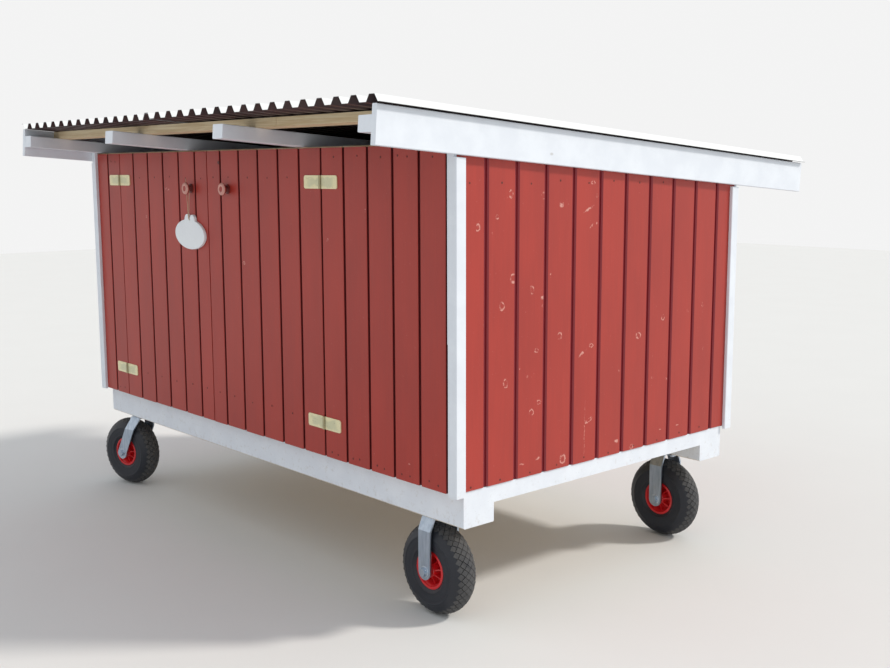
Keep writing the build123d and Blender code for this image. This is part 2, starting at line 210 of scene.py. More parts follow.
class Graph:
    def __init__(self, tree):
        self.tree = tree
        tree.nodes.clear()

    def node(self, kind, settings=None, sockets=None, output=0):
        made = self.tree.nodes.new(kind)
        for name, value in (settings or {}).items():
            setattr(made, name, value)
        ready = [socket for socket in made.inputs if socket.enabled]
        for name, value in (sockets or {}).items():
            socket = ready[name] if isinstance(name, int) else next(s for s in ready if s.name == name)
            if isinstance(value, Wire):
                self.tree.links.new(value.socket, socket)
            else:
                socket.default_value = value
        outputs = [socket for socket in made.outputs if socket.enabled]
        found = outputs[output] if isinstance(output, int) else next(s for s in outputs if s.name == output)
        return Wire(self, found)

    def maths(self, operation, *values):
        return self.node("ShaderNodeMath", {"operation": operation}, dict(enumerate(values)))

    def part(self, vector, axis):
        return self.node("ShaderNodeSeparateXYZ", None, {0: vector}, output=axis)

    def vector(self, **parts):
        return self.node("ShaderNodeCombineXYZ", None, parts)

    def vectorSum(self, operation, *values, output=0):
        return self.node("ShaderNodeVectorMath", {"operation": operation}, dict(enumerate(values)), output)

    def larger(self, first, second):
        return self.maths("MAXIMUM", first, second)

    def chance(self, low, high, seed):
        return self.node("FunctionNodeRandomValue", {"data_type": "FLOAT"}, {"Min": low, "Max": high, "Seed": seed})

    def placed(self, points, thing, **more):  # an object on every point
        shape = self.node("GeometryNodeObjectInfo", None, {"Object": thing}, output="Geometry")
        return self.node("GeometryNodeInstanceOnPoints", None, {"Points": points, "Instance": shape, **more})

    def spot(self):
        return self.node("ShaderNodeTexCoord", output="Object")

    def coordinates(self, stretch=(1, 1, 1), offset=None):
        spot = self.spot()
        if offset is not None:
            spot = self.vectorSum("ADD", spot, offset)
        return self.node("ShaderNodeMapping", None, {"Vector": spot, "Scale": stretch})

    def noise(self, vector, scale, detail=3, roughness=0.55, distortion=0):
        values = {"Vector": vector, "Scale": scale, "Detail": detail, "Roughness": roughness, "Distortion": distortion}
        return self.node("ShaderNodeTexNoise", None, values)

    def cloud(self, scale, detail, roughness=0.55):  # noise that is the same size every way
        return self.noise(self.coordinates(), scale, detail, roughness)

    def cells(self, stretch):  # distance to the nearest of scattered points, for knots
        values = {"Vector": self.coordinates(stretch), "Scale": 1}
        return self.node("ShaderNodeTexVoronoi", {"feature": "F1"}, values, output="Distance")

    def rise(self, value, low, high):  # 0 below low, 1 above high, smooth between
        settings = {"interpolation_type": "SMOOTHSTEP"}
        return self.node("ShaderNodeMapRange", settings, {"Value": value, "From Min": low, "From Max": high})

    def blend(self, factor, first, second):
        ready = {"Factor": factor, "A": tone(first), "B": tone(second)}
        return self.node("ShaderNodeMix", {"data_type": "RGBA", "blend_type": "MIX"}, ready)

    def facing(self, axis):  # how far the surface turns to one of the hut's own axes
        return self.part(self.node("ShaderNodeTexCoord", output="Normal"), axis)

    def height(self, axis="Z"):
        return self.part(self.spot(), axis)

    def attribute(self, name, output="Fac"):
        return self.node("ShaderNodeAttribute", {"attribute_name": name}, output=output)

    def surface(self, colour, roughness, relief, strength, distance):
        bump = self.node("ShaderNodeBump", None, {"Height": relief, "Strength": strength, "Distance": distance})
        return {"Base Color": colour, "Roughness": roughness, "Normal": bump}


def tone(colour):
    return (*colour, 1) if isinstance(colour, tuple) else colour


def newFinish(name, dress, constants=None):
    material = bpy.data.materials.new(name)
    material.use_nodes = True
    graph = Graph(material.node_tree)
    shader = graph.tree.nodes.new("ShaderNodeBsdfPrincipled")
    output = graph.tree.nodes.new("ShaderNodeOutputMaterial")
    graph.tree.links.new(shader.outputs[0], output.inputs["Surface"])
    for socket, value in (constants or {}).items():
        shader.inputs[socket].default_value = value
    for socket, wire in dress(graph).items():
        graph.tree.links.new(wire.socket, shader.inputs[socket])
    return material


# Finishes

hinges = {"left": -815.5, "right": 446, "heights": (1189, 487)}

boardPaint = {
    "red": (0.415, 0.035, 0.021),
    "deep": (0.34, 0.028, 0.018),
    # painted shade: the groove colours are darkened to stand in for the shadow that falls in the board grooves
    "grooveShade": (0.12, 0.011, 0.012),
    "endGrooveShade": (0.26, 0.018, 0.027),
    "worn": (0.72, 0.36, 0.3),
    "knot": (0.05, 0.008, 0.008),
    "bareWood": ((0.6, 0.44, 0.24), (0.74, 0.58, 0.36)),
}

# Knots and scuffs, in millimetres: place along the wall, height, width and height of the mark, and its slant if any
marks = {
    "rightRings": (
        (178, 1160, 16, 25), (128, 1102, 12, 14), (60, 1077, 15, 21), (302, 1153, 21, 20), (502, 1187, 18, 11),
        (519, 1150, 9, 11), (188, 940, 24, 27), (147, 869, 21, 23), (260, 904, 15, 26), (303, 858, 8, 13),
        (717, 736, 24, 20), (834, 779, 17, 19), (788, 600, 8, 10), (857, 587, 8, 8), (371, 769, 20, 22),
        (161, 663, 17, 26), (261, 569, 20, 21), (289, 594, 20, 13), (390, 417, 25, 27), (696, 401, 18, 15),
        (280, 738, 16, 12), (505, 728, 18, 11), (499, 512, 36, 11, -20), (1036, 802, 10, 15),
    ),
    "rightBlots": (
        (111, 1060, 5, 5), (223, 1135, 5, 5), (373, 1128, 18, 20, 20), (485, 1114, 50, 7, -24),
        (497, 1066, 20, 6, -40), (305, 880, 26, 13), (236, 848, 5, 5), (87, 833, 18, 27, 15), (332, 942, 5, 6),
        (957, 788, 9, 8), (630, 640, 9, 7), (624, 430, 21, 12, 10), (288, 435, 26, 10, -20), (245, 670, 7, 7),
        (470, 713, 54, 9, -35), (225, 431, 20, 6, 10), (80, 462, 5, 5), (214, 694, 5, 4), (919, 433, 17, 5),
        (1044, 665, 3, 18), (833, 432, 11, 4),
    ),
    "rightScratches": ((481, 486, 1.6, 196, 0.6), (519, 1074, 6, 6), (273, 853, 6, 5)),
    "leftRings": (
        (232, 1128, 19, 24), (455, 968, 14, 17), (846, 742, 18, 21), (318, 632, 12, 15), (520, 448, 17, 14),
        (1012, 610, 20, 16), (88, 560, 12, 15),
    ),
    "leftBlots": (
        (612, 1172, 22, 17, 15), (958, 1058, 9, 9), (704, 521, 24, 6, -30), (141, 847, 6, 7), (905, 455, 15, 8, 20),
    ),
    "frontRings": ((-622, 1062, 9, 12), (24, 933, 14, 12), (475, 1023, 10, 13)),
    "frontBlots": ((-460, 1160, 32, 9, 8), (984, 967, 5, 6), (650, 1113, 4, 12), (830, 437, 7, 6), (679, 437, 4, 4)),
    "frontKnots": ((-115, 1247, 15, 13), (-104, 848, 9, 9), (170, 494, 5, 5)),
}


def listMarks(*names):  # each mark with its slant filled in, and 0 for a ring or 1 for a filled blot
    filled = {name: 0.0 if name.endswith("Rings") else 1.0 for name in names}
    return [(*mark, *(0,) * (5 - len(mark)), filled[name]) for name in names for mark in marks[name]]


def ringMark(graph, far):  # from the distance to the mark's middle, as a share of its size
    return 1 - graph.rise(abs(far - 0.8), 0.08, 0.3)


def blotMark(graph, far):
    return 1 - graph.rise(far, 0.55, 1.1)


def markMask(graph, near, members, acrossX):
    total = 0.0
    for along, height, wide, tall, slant, filled in members:
        spot = place(along, 0, height) if acrossX else place(0, along, height)
        turn = math.radians(slant)
        local = graph.node("ShaderNodeMapping", {"vector_type": "TEXTURE"}, {
            "Vector": near,
            "Location": (spot.x, 0, spot.z) if acrossX else (0, spot.y, spot.z),
            "Rotation": (0, turn, 0) if acrossX else (-turn, 0, 0),
            "Scale": (wide / 2000, 1000, tall / 2000) if acrossX else (1000, wide / 2000, tall / 2000),
        })
        far = graph.vectorSum("LENGTH", local, output="Value")
        total = graph.larger((blotMark if filled else ringMark)(graph, far), total)
    return total


def faceMark(graph, near):  # the mark that markFaces stored on the face
    spot, size = graph.attribute("markSpot", "Vector"), graph.attribute("markSize", "Vector")
    values = {"Vector": graph.vectorSum("SUBTRACT", near, spot), "Angle": graph.part(size, "Z")}
    offset = graph.node("ShaderNodeVectorRotate", {"rotation_type": "X_AXIS"}, values)
    across, up = graph.part(offset, "Y") / graph.part(size, "X"), graph.part(offset, "Z") / graph.part(size, "Y")
    far, filled = (across * across + up * up) ** 0.5, graph.attribute("markFill")
    return blotMark(graph, far) * filled + ringMark(graph, far) * (1 - filled)


def redBoards(ends):
    def dress(graph):
        board = graph.attribute("boardTone")
        shift = graph.vector(Y=board * 7.3, Z=board * 3.1)
        grain = graph.noise(graph.coordinates((46, 46, 2.2), shift), 3.2, 5, 0.6, 0.4)
        patches = graph.noise(graph.coordinates((1, 1, 0.35), shift), 7, 3)
        tint = graph.rise(grain * 0.35 + patches * 0.65 + board * 0.05, 0.3, 0.72)
        colour = graph.blend(tint, boardPaint["deep"], boardPaint["red"])
        specks = graph.noise(graph.coordinates((1, 1, 1), shift), 150, 2)
        colour = graph.blend(graph.rise(specks, 0.7, 0.78) * 0.16, colour, boardPaint["worn"])
        spot = graph.spot()
        ripple = graph.node("ShaderNodeTexNoise", None, {"Vector": spot, "Scale": 120, "Detail": 2}, output="Color")
        ripple = graph.vectorSum("SUBTRACT", ripple, (0.5, 0.5, 0.5))
        near = graph.vectorSum("MULTIPLY_ADD", ripple, (0.009, 0.009, 0.009), spot)
        broken = graph.rise(graph.cloud(95, 3), 0.4, 0.58)
        if ends:
            scratches = markMask(graph, near, listMarks("rightScratches"), False)
            scuffs = graph.larger(scratches * graph.rise(graph.facing("X"), 0.3, 0.7), faceMark(graph, near))
        else:
            front = graph.rise(graph.facing("Y") * -1, 0.3, 0.7)
            scuffs = markMask(graph, near, listMarks("frontRings", "frontBlots"), True) * front
        colour = graph.blend(scuffs * broken * 0.75, colour, boardPaint["worn"])
        if not ends:
            knots = markMask(graph, near, listMarks("frontKnots"), True) * front
            colour = graph.blend(knots * 0.85, colour, boardPaint["knot"])
        # painted shade: faces marked as groove take a dark colour that stands in for the shadow in the grooves
        shade = boardPaint["endGrooveShade" if ends else "grooveShade"]
        colour = graph.blend(graph.attribute("groove"), colour, shade)
        bare = graph.attribute("bare")
        colour = graph.blend(bare, colour, graph.blend(grain, *boardPaint["bareWood"]))
        return graph.surface(colour, 0.4 + grain * 0.1 + bare * 0.3, grain + scuffs * 0.6, 0.16, 0.0006)

    return dress


paints = {  # colours of the other finishes; where there are two, a soft cloud mixes them
    # partly painted light: the white paint carries a blue tint that stands in for sky light on its shaded faces
    "whiteWithSkyTint": ((0.75, 0.785, 0.84), (0.8, 0.835, 0.885)),
    "whiteStreak": (0.58, 0.57, 0.55),
    "whiteKnot": (0.33, 0.27, 0.2),
    "splash": (0.36, 0.29, 0.21),
    "speck": (0.25, 0.22, 0.18),
    "bareBeam": (0.62, 0.5, 0.33),
    "timber": ((0.63, 0.46, 0.25), (0.82, 0.69, 0.46)),
    "timberPatch": (0.66, 0.55, 0.4),
    "timberKnot": (0.27, 0.13, 0.055),
    "roofTop": ((0.74, 0.76, 0.76), (0.58, 0.57, 0.53)),
    "roofUnder": ((0.045, 0.028, 0.03), (0.075, 0.048, 0.048)),
    "brass": ((0.66, 0.64, 0.42), (0.88, 0.8, 0.5)),
    "brassStreak": (0.8, 0.72, 0.48),
    "brassSpot": (0.2, 0.13, 0.06),
    # painted shade: dark line along the hinge knuckle, standing in for the shadow in the gap between the leaves
    "brassKnuckleShade": (0.22, 0.17, 0.08),
    "zinc": ((0.37, 0.44, 0.53), (0.51, 0.58, 0.67)),
    "dullZinc": (0.42, 0.44, 0.42),
    "bolt": ((0.66, 0.7, 0.75), (0.84, 0.87, 0.9)),
    "rubber": ((0.013, 0.015, 0.021), (0.022, 0.025, 0.034)),
    "rubberDust": ((0.13, 0.125, 0.12), (0.3, 0.285, 0.26)),
    "rim": ((0.6, 0.01, 0.016), (0.74, 0.018, 0.022)),
    "rimDust": (0.45, 0.28, 0.22),
    "sign": ((0.86, 0.885, 0.91), (0.9, 0.925, 0.95)),
    "signFleck": (0.5, 0.5, 0.47),
    "knob": ((0.3, 0.03, 0.024), (0.44, 0.06, 0.045)),
    # painted shade: dark colour on the knob's neck and base, under its head
    "knobNeckShade": (0.09, 0.012, 0.012),
    "knobRub": ((0.72, 0.42, 0.36), (0.66, 0.3, 0.24)),
    "fibre": ((0.42, 0.3, 0.18), (0.74, 0.6, 0.42)),
    "plywood": ((0.5, 0.34, 0.18), (0.68, 0.52, 0.31)),
    "straw": (0.32, 0.26, 0.18),
    "screw": ((0.07, 0.012, 0.01), (0.16, 0.03, 0.02)),
    "floor": ((0.74, 0.73, 0.71), (0.66, 0.65, 0.63)),
}


def whitePaint(graph):
    alongX = graph.noise(graph.coordinates((2.5, 60, 60)), 3, 4, 0.6)
    mottle = graph.cloud(14, 4)
    # partly painted light: the blue tint of the white stands in for sky light
    colour = graph.blend(graph.rise(mottle, 0.35, 0.7), *paints["whiteWithSkyTint"])
    colour = graph.blend(graph.rise(alongX, 0.62, 0.78) * 0.12, colour, paints["whiteStreak"])
    knots = 1 - graph.rise(graph.cells((4, 6, 11)) + (mottle - 0.5) * 0.05, 0.022, 0.045)
    colour = graph.blend(knots * 0.35, colour, paints["whiteKnot"])
    splash = graph.rise(graph.cloud(55, 5, 0.7) - graph.height() * 0.9, 0.24, 0.42)
    colour = graph.blend(splash * 0.25, colour, paints["splash"])
    specks = graph.rise(graph.cloud(260, 2), 0.7, 0.76)
    endGrain = graph.rise(graph.facing("X") * graph.facing("X"), 0.8, 0.95)
    low = 1 - graph.rise(graph.height(), 0.41, 0.45)
    colour = graph.blend(specks * endGrain * low * 0.6, colour, paints["speck"])
    # the beams are painted where they show and bare underneath
    under = graph.rise(graph.facing("Z") * -1, 0.5, 0.8) * low
    colour = graph.blend(under * 0.8, colour, paints["bareBeam"])
    return graph.surface(colour, 0.42 + mottle * 0.2, alongX + mottle * 0.3, 0.18, 0.0007)


def rawTimber(alongAxis):
    stretch = {"X": (2.2, 55, 55), "Z": (55, 55, 2.2)}[alongAxis]

    def dress(graph):
        grain = graph.noise(graph.coordinates(stretch), 2.2, 5, 0.6, 0.6)
        colour = graph.blend(graph.rise(grain, 0.35, 0.68), *paints["timber"])
        colour = graph.blend(graph.cloud(6, 3) * 0.3, colour, paints["timberPatch"])
        knots = 1 - graph.rise(graph.cells(tuple(value * 0.14 + 0.6 for value in stretch)), 0.05, 0.1)
        colour = graph.blend(knots * 0.7, colour, paints["timberKnot"])
        return graph.surface(colour, 0.72 + grain * 0.15, grain + knots * 0.5, 0.35, 0.0008)

    return dress


def roofSheet(graph):
    top = graph.rise(graph.facing("Z"), -0.05, 0.03)
    dirt = graph.noise(graph.coordinates((1, 0.25, 1)), 7, 4, 0.65)
    whiteSide = graph.blend(graph.rise(dirt, 0.45, 0.75) * 0.25, *paints["roofTop"])
    darkSide = graph.blend(graph.rise(dirt, 0.3, 0.7), *paints["roofUnder"])
    return graph.surface(graph.blend(top, darkSide, whiteSide), 0.38 + dirt * 0.25, graph.cloud(400, 2), 0.08, 0.0004)


def brass(graph):
    cloud = graph.cloud(45, 4)
    brushed = graph.noise(graph.coordinates((4, 60, 160)), 6, 3)
    middleX = place((hinges["left"] + hinges["right"]) / 2, 0, 0).x
    high, low = hinges["heights"]
    fromPin = abs(abs(graph.height("X") - middleX) - (hinges["right"] - hinges["left"]) / 2000)
    fromCentre = abs(abs(graph.height() - (high + low) / 2000) - (high - low) / 2000)
    wander = (cloud - 0.5) * 0.03
    pale = graph.larger(graph.rise(fromPin + wander, 0.05, 0.072), graph.rise(fromCentre + wander, 0.008, 0.0165))
    colour = graph.blend(pale * 0.8, *paints["brass"])
    colour = graph.blend(graph.rise(brushed, 0.5, 0.75) * 0.35, colour, paints["brassStreak"])
    colour = graph.blend(graph.rise(graph.cloud(220, 2), 0.66, 0.74) * 0.5, colour, paints["brassSpot"])
    # painted shade along the knuckle, where the gap between the leaves is shadowed
    knuckleShade = 1 - graph.rise(fromPin, 0.004, 0.008)
    colour = graph.blend(knuckleShade * 0.6, colour, paints["brassKnuckleShade"])
    return graph.surface(colour, 0.36 + cloud * 0.2, brushed, 0.12, 0.0004)


def zincPlate(graph):
    flow = graph.noise(graph.coordinates((30, 30, 4)), 4, 4)
    colour = graph.blend(graph.rise(flow, 0.3, 0.7), *paints["zinc"])
    dull = graph.rise(graph.cloud(26, 4), 0.58, 0.72)
    colour = graph.blend(dull * 0.3, colour, paints["dullZinc"])
    return graph.surface(colour, 0.3 + flow * 0.1 + dull * 0.15, flow, 0.08, 0.0004)


def boltZinc(graph):
    flow = graph.cloud(160, 3)
    colour = graph.blend(flow, *paints["bolt"])
    return graph.surface(colour, 0.22 + flow * 0.12, flow, 0.06, 0.0003)


def rubber(graph):
    tread = graph.attribute("tread")
    cloud = graph.cloud(24, 5, 0.65)
    black = graph.blend(cloud, *paints["rubber"])
    dust = graph.blend(graph.cloud(70, 4), *paints["rubberDust"])
    dusty = graph.rise(cloud + tread * 0.32, 0.5, 0.82)
    colour = graph.blend(dusty * (0.03 + tread * 0.26), black, dust)
    return graph.surface(colour, 0.46 + dusty * 0.35, graph.cloud(300, 3), 0.14, 0.0005)


def rimPlastic(graph):
    cloud = graph.cloud(30, 4)
    dust = graph.rise(graph.cloud(55, 5, 0.7), 0.55, 0.75)
    colour = graph.blend(cloud, *paints["rim"])
    return graph.surface(graph.blend(dust * 0.14, colour, paints["rimDust"]), 0.3 + dust * 0.3, cloud, 0.1, 0.0006)


def signPaint(graph):
    cloud = graph.cloud(40, 4)
    colour = graph.blend(cloud, *paints["sign"])
    fleck = graph.rise(graph.cloud(130, 4), 0.66, 0.72)
    colour = graph.blend(fleck * 0.25, colour, paints["signFleck"])
    return graph.surface(colour, 0.45 + cloud * 0.2, cloud, 0.12, 0.0005)


def knobPaint(graph):
    blotch = graph.cloud(140, 4, 0.7)
    colour = graph.blend(blotch, *paints["knob"])
    # painted shade under the knob's head, on its neck and base
    colour = graph.blend(graph.attribute("neck") * 0.75, colour, paints["knobNeckShade"])
    rub = graph.rise(graph.attribute("worn") * 0.75 + blotch * 0.5, 0.55, 0.85)
    colour = graph.blend(rub * 0.85, colour, graph.blend(blotch, *paints["knobRub"]))
    return graph.surface(colour, 0.4 + blotch * 0.25, blotch, 0.3, 0.0006)


def fibre(graph):
    strands = graph.noise(graph.coordinates((500, 500, 120)), 2.5, 3)
    colour = graph.blend(strands, *paints["fibre"])
    return graph.surface(colour, 0.85 + strands * 0.1, strands, 0.6, 0.0006)


def plywood(graph):
    rings = graph.noise(graph.coordinates((3, 22, 22)), 2.4, 5, 0.6, 1.2)
    colour = graph.blend(graph.rise(rings, 0.3, 0.7), *paints["plywood"])
    straw = graph.rise(graph.cloud(40, 4), 0.6, 0.7)
    return graph.surface(graph.blend(straw * 0.2, colour, paints["straw"]), 0.75 + rings * 0.1, rings, 0.3, 0.0006)


def darkScrew(graph):
    rust = graph.cloud(500, 3)
    colour = graph.blend(rust, *paints["screw"])
    return graph.surface(colour, 0.6 + rust * 0.2, rust, 0.3, 0.0004)


def paleFloor(graph):
    drift = graph.cloud(2.5, 4) * 0.3
    return {"Base Color": graph.blend(drift, *paints["floor"])}


finishes = {
    "redBoards": newFinish("redBoards", redBoards(False)),
    "redEndBoards": newFinish("redEndBoards", redBoards(True)),
    "whitePaint": newFinish("whitePaint", whitePaint),
    "timberX": newFinish("timberX", rawTimber("X")),
    "timberZ": newFinish("timberZ", rawTimber("Z")),
    "plywood": newFinish("plywood", plywood),
    "roofSheet": newFinish("roofSheet", roofSheet),
    "brass": newFinish("brass", brass, {"Metallic": 0.3}),
    "zincPlate": newFinish("zincPlate", zincPlate, {"Metallic": 0.9}),
    "boltZinc": newFinish("boltZinc", boltZinc, {"Metallic": 0.9}),
    "rubber": newFinish("rubber", rubber, {"Specular IOR Level": 0.4}),
    "rimPlastic": newFinish("rimPlastic", rimPlastic, {"Coat Weight": 0.2}),
    "signPaint": newFinish("signPaint", signPaint),
    "knobPaint": newFinish("knobPaint", knobPaint),
    "fibre": newFinish("fibre", fibre),
    "darkScrew": newFinish("darkScrew", darkScrew),
}
print("finishes made:", len(finishes))

carried = {
    "whitePaint": [
        "front_beam", "rear_beam", "cross_members", "corner_trims", "rafters", "barge_board_left", "barge_board_right",
    ],
    "timberX": ["battens", "top_rails", "door_left_ledges", "door_right_ledges"],
    "timberZ": ["corner_posts", "door_posts"],
    "plywood": ["floor_deck"],
    "brass": ["frame_hinges_left", "frame_hinges_right", "door_left_hinges", "door_right_hinges"],
    "zincPlate": [
        "castor_plates_left", "fork_right_front", "fork_right_rear", "fork_left_front", "fork_left_rear",
    ],
}
for finish, members in carried.items():
    for member in members:
        nodes[member].data.materials.clear()
        nodes[member].data.materials.append(finishes[finish])


# Mesh helpers

def reshape(piece, change):
    mesh = bmesh.new()
    mesh.from_mesh(piece.data)
    change(mesh)
    mesh.to_mesh(piece.data)
    mesh.free()


def meshPiece(name, points, faces, finish=None):
    mesh = bpy.data.meshes.new(name)
    mesh.from_pydata([tuple(point) for point in points], [], faces)
    mesh.update()
    if finish:
        mesh.materials.append(finishes[finish])
    piece = show(name, mesh)
    if len(faces) > 1:
        reshape(piece, lambda shell: bmesh.ops.recalc_face_normals(shell, faces=shell.faces))
    return piece


def hand(piece, body, slot, *replaced):
    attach(piece, body)
    if replaced:
        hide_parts(*replaced)
    return piece


def smoothTo(piece, degrees):
    for polygon in piece.data.polygons:
        polygon.use_smooth = True
    piece.data.set_sharp_from_angle(angle=math.radians(degrees))


def newTree(name, **inputs):
    tree = bpy.data.node_groups.new(name, "GeometryNodeTree")
    for label, kind in inputs.items():
        tree.interface.new_socket(name=label, in_out="INPUT", socket_type="NodeSocket" + kind)
    tree.interface.new_socket(name="Geometry", in_out="OUTPUT", socket_type="NodeSocketGeometry")
    graph = Graph(tree)
    return graph, lambda label: graph.node("NodeGroupInput", output=label)


def closeTree(graph, geometry, finish):
    whole = graph.node("GeometryNodeRealizeInstances", None, {0: geometry})
    dressed = graph.node("GeometryNodeSetMaterial", None, {"Geometry": whole, "Material": finish})
    output = graph.tree.nodes.new("NodeGroupOutput")
    graph.tree.links.new(dressed.socket, output.inputs[0])
    return graph.tree


def runTree(name, tree, values, points=((0, 0, 0),), faces=()):
    carrier = meshPiece(name + "Seed", points, faces)
    modifier = carrier.modifiers.new("repeat", "NODES")
    modifier.node_group = tree
    for item in tree.interface.items_tree:
        if item.in_out == "INPUT" and item.name in values:
            modifier[item.identifier] = values[item.name]
    mesh = bpy.data.meshes.new_from_object(carrier.evaluated_get(bpy.context.evaluated_depsgraph_get()))
    carrier.modifiers.remove(modifier)
    bpy.data.objects.remove(carrier)
    mesh.materials.clear()
    mesh.materials.append(values["Finish"])
    for polygon in mesh.polygons:
        polygon.material_index = 0
    return show(name, mesh)


# Boards: a tongue-and-groove board repeated along a wall, then cut to the wall's own outline

boards = {
    "cover": 110.55,
    "endCover": 111.7,
    "firstEndEdge": 94.6,
    "firstBackEdge": 1032,
    "thickness": 14,
    "shelf": 10,
    "shelfDepth": 7,
    "frontBevel": 1.5,
    "endBevel": 4,
    "unevenBottom": 1.6,
    "proud": 0.0004,
    "slices": (0, 250, 500, 750, 1000),
    "endCount": 10,
    "cutNear": 1e-6,
}


def boardMesh(cover, atEnd):
    back, shelf, deep = boards["thickness"], boards["shelf"], boards["shelfDepth"]
    bevel = boards["endBevel" if atEnd else "frontBevel"]
    profile = [
        (0, back), (0, bevel), (bevel, 0), (cover - shelf - bevel, 0), (cover - shelf, bevel),
        (cover - shelf, deep), (cover, deep + 0.3), (cover, back),
    ]
    grooveShade = (0, 1, 4, 5, 6) if atEnd else (0, 4, 5, 6)  # sides of the profile that lie in the groove, which get its painted shade
    slices = boards["slices"]
    points = [(x / 1000, y / 1000, z / 1000) for z in slices for x, y in profile]
    size = len(profile)
    faces = []
    for layer in range(len(slices) - 1):
        for side in range(size):
            a, b = layer * size + side, layer * size + (side + 1) % size
            faces.append((a, b, b + size, a + size))
    sides = len(faces)
    faces.append(tuple(range(size - 1, -1, -1)))
    faces.append(tuple(range((len(slices) - 1) * size, len(slices) * size)))
    piece = meshPiece("board", points, faces)
    bare = piece.data.attributes.new("bare", "FLOAT", "FACE")
    # the groove attribute marks the faces that get the painted groove shade
    groove = piece.data.attributes.new("groove", "FLOAT", "FACE")
    for polygon in piece.data.polygons:
        bare.data[polygon.index].value = float(polygon.normal.y > 0.7)
        groove.data[polygon.index].value = float(polygon.index < sides and polygon.index % size in grooveShade)
    return piece


def boardTree():
    graph, value = newTree(
        "boardRun", Board="Object", Finish="Material", Boards="Int", Cover="Float", Uneven="Float", Proud="Float",
        Seed="Int",
    )
    step = graph.vector(X=value("Cover"))
    line = graph.node("GeometryNodeMeshLine", {"mode": "OFFSET"}, {"Count": value("Boards"), "Offset": step})
    lift = graph.chance(value("Uneven") * -1, value("Uneven"), value("Seed"))
    offset = graph.vector(Y=graph.chance(0.0, value("Proud"), value("Seed") + 5), Z=lift)
    line = graph.node("GeometryNodeSetPosition", None, {"Geometry": line, "Offset": offset})
    run = graph.placed(line, value("Board"))
    run = graph.node(
        "GeometryNodeStoreNamedAttribute", {"data_type": "FLOAT", "domain": "INSTANCE"},
        {"Geometry": run, "Name": "boardTone", "Value": graph.chance(-1.0, 1.0, value("Seed") + 9)},
    )
    return closeTree(graph, run, value("Finish"))


def bisect(mesh, point, normal, drop=False):
    whole = mesh.verts[:] + mesh.edges[:] + mesh.faces[:]
    near = boards["cutNear"]
    bmesh.ops.bisect_plane(mesh, geom=whole, plane_co=point, plane_no=normal, clear_outer=drop, dist=near)


def cutMesh(piece, cuts):
    def cut(mesh):
        for point, normal in cuts:
            bisect(mesh, point, normal, True)
            bmesh.ops.edgeloop_fill(mesh, edges=[edge for edge in mesh.edges if edge.is_boundary])

    reshape(piece, cut)


def markFaces(piece, members):  # cuts the boards between their marks, and stores on each part the mark it carries
    def boardAt(along):
        return int((along - boards["firstEndEdge"]) // boards["endCover"])

    def cut(mesh):
        for height in sorted(heights):
            bisect(mesh, (0, 0, height), (0, 0, 1))

    onBoard = {}
    for mark in members:
        onBoard.setdefault(boardAt(mark[0]), []).append(mark)
    heights = set()
    for group in onBoard.values():
        group.sort(key=lambda mark: mark[1])
        heights |= {(below[1] + above[1]) / 2000 for below, above in zip(group, group[1:])}
    reshape(piece, cut)
    kept = {"markSpot": "FLOAT_VECTOR", "markSize": "FLOAT_VECTOR", "markFill": "FLOAT"}
    for label, kind in kept.items():
        piece.data.attributes.new(label, kind, "FACE")
    spots, sizes, fills = (piece.data.attributes[label] for label in kept)
    noMark = (0, -9000, 2000, 2000, 0, 0.0)
    for polygon in piece.data.polygons:
        along, height = (polygon.center.y - frameFront) * 1000, polygon.center.z * 1000
        group = onBoard.get(boardAt(along), []) if abs(polygon.normal.x) > 0.9 else []
        y, z, wide, tall, slant, filled = min(group, key=lambda mark: abs(mark[1] - height), default=noMark)
        spots.data[polygon.index].vector = place(0, y, z)
        sizes.data[polygon.index].vector = (wide / 2000, tall / 2000, math.radians(slant))
        fills.data[polygon.index].value = filled


boardRun = boardTree()


def clad(name, node, finish, firstEdge, cover, facing, seed, top=None, members=None):
    low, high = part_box(node)
    acrossX = facing in ("front", "back")
    board = boardMesh(cover, not acrossX)
    cover, firstEdge = cover / 1000, firstEdge / 1000
    wide = (high.x - low.x) if acrossX else (high.y - low.y)
    run = runTree(name, boardRun, {
        "Board": board, "Finish": finishes[finish], "Boards": int(wide / cover) + 3, "Cover": cover,
        "Uneven": boards["unevenBottom"] / 1000, "Proud": boards["proud"], "Seed": seed,
    })
    # the run starts at its first edge, outer face on the plane of the node's outer face
    starts = {
        "front": ((firstEdge, low.y, low.z), 0),
        "back": ((firstEdge, high.y, low.z), math.pi),
        "right": ((high.x, firstEdge, low.z), math.pi / 2),
        "left": ((low.x, firstEdge, low.z), -math.pi / 2),
    }
    spot, turn = starts[facing]
    run.data.transform(Matrix.Translation(spot) @ Matrix.Rotation(turn, 4, "Z"))
    cuts = [((0, 0, low.z), (0, 0, -1)), top or ((0, 0, high.z), (0, 0, 1))]
    if acrossX:
        cuts += [((low.x, 0, 0), (-1, 0, 0)), ((high.x, 0, 0), (1, 0, 0))]
    else:
        cuts += [((0, low.y, 0), (0, -1, 0)), ((0, high.y, 0), (0, 1, 0))]
    cutMesh(run, cuts)
    if members:
        markFaces(run, members)
    bpy.data.objects.remove(board)
    return hand(run, bodyOf[node], "red_board", node)


slope = math.radians(4.08)
wallLow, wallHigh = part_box("wall_right")
slopedTop = ((0, wallLow.y, wallHigh.z), (0, math.sin(slope), math.cos(slope)))

